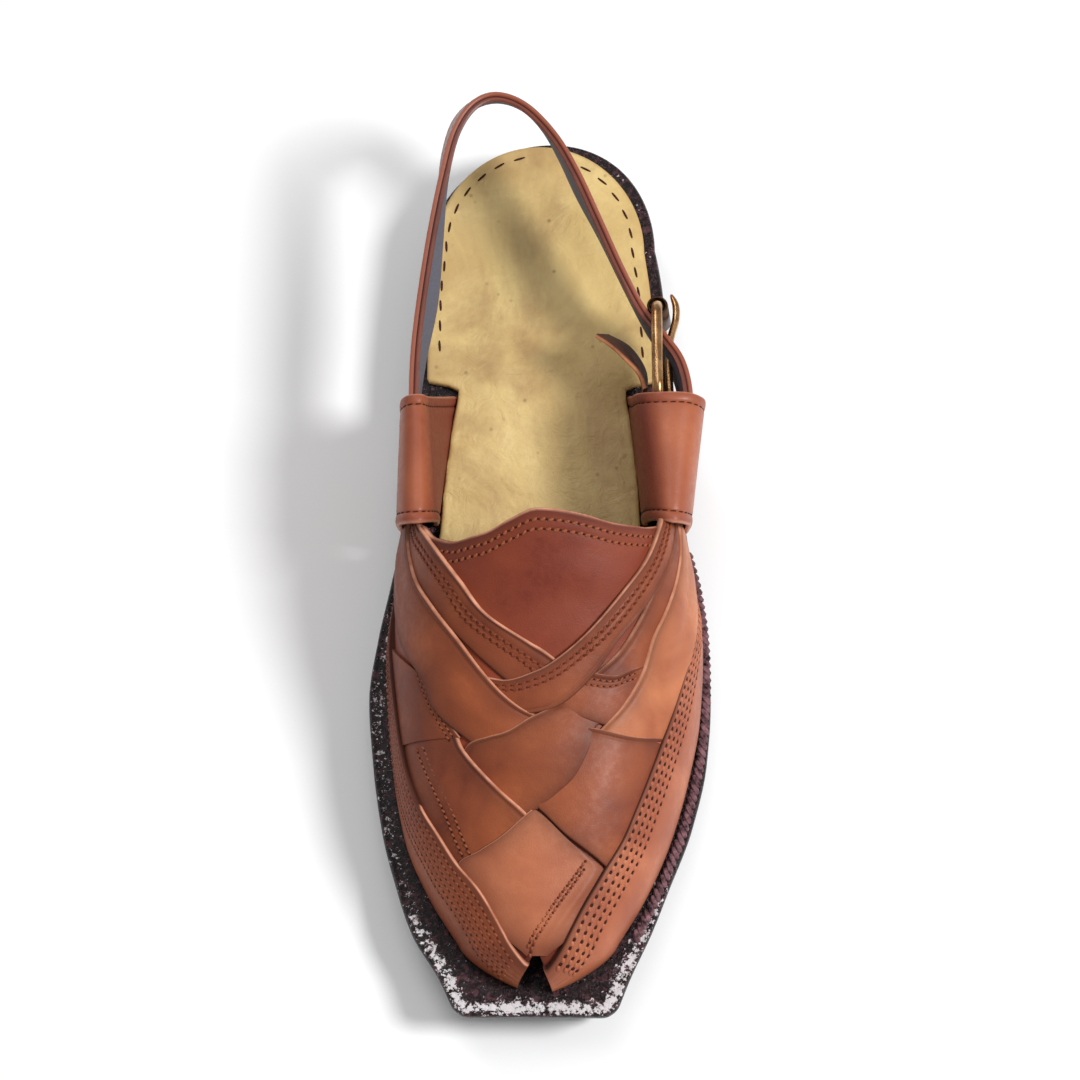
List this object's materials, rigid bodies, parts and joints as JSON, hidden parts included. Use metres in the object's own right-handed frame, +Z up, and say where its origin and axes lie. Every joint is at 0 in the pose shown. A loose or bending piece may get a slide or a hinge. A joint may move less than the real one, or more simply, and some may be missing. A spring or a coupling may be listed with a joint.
{
  "type": "leather chappal",
  "caption": "Peshawari-style leather chappal for the left foot: woven closed-front upper with an open toe notch, strap keepers, buckled heel strap and stacked sole with heel.",
  "frame": {"origin": "middle of the shoe's length and width, at the plane it stands on", "axes": "+Y from heel to toe, +X towards the inner (big toe) side of this left shoe, +Z up"},
  "size_m": [0.11, 0.3012, 0.0879],
  "materials": {
    "upper_leather": "satin tan leather, burnished",
    "insole_leather": "matt natural leather",
    "welt_leather": "glossy near-black, maroon stained",
    "sole_rubber": "matt black rubber",
    "brass": "polished"
  },
  "bodies": {
    "root": {"outsole": "sole_rubber", "heel": "sole_rubber", "midsole": "welt_leather", "insole": "insole_leather", "upper": "upper_leather", "keeper_medial": "upper_leather", "keeper_lateral": "upper_leather", "heel_strap": "upper_leather", "buckle_guard": "upper_leather", "buckle_chape": "upper_leather", "buckle_frame": "brass", "buckle_prong": "brass"}
  },
  "joints": []
}
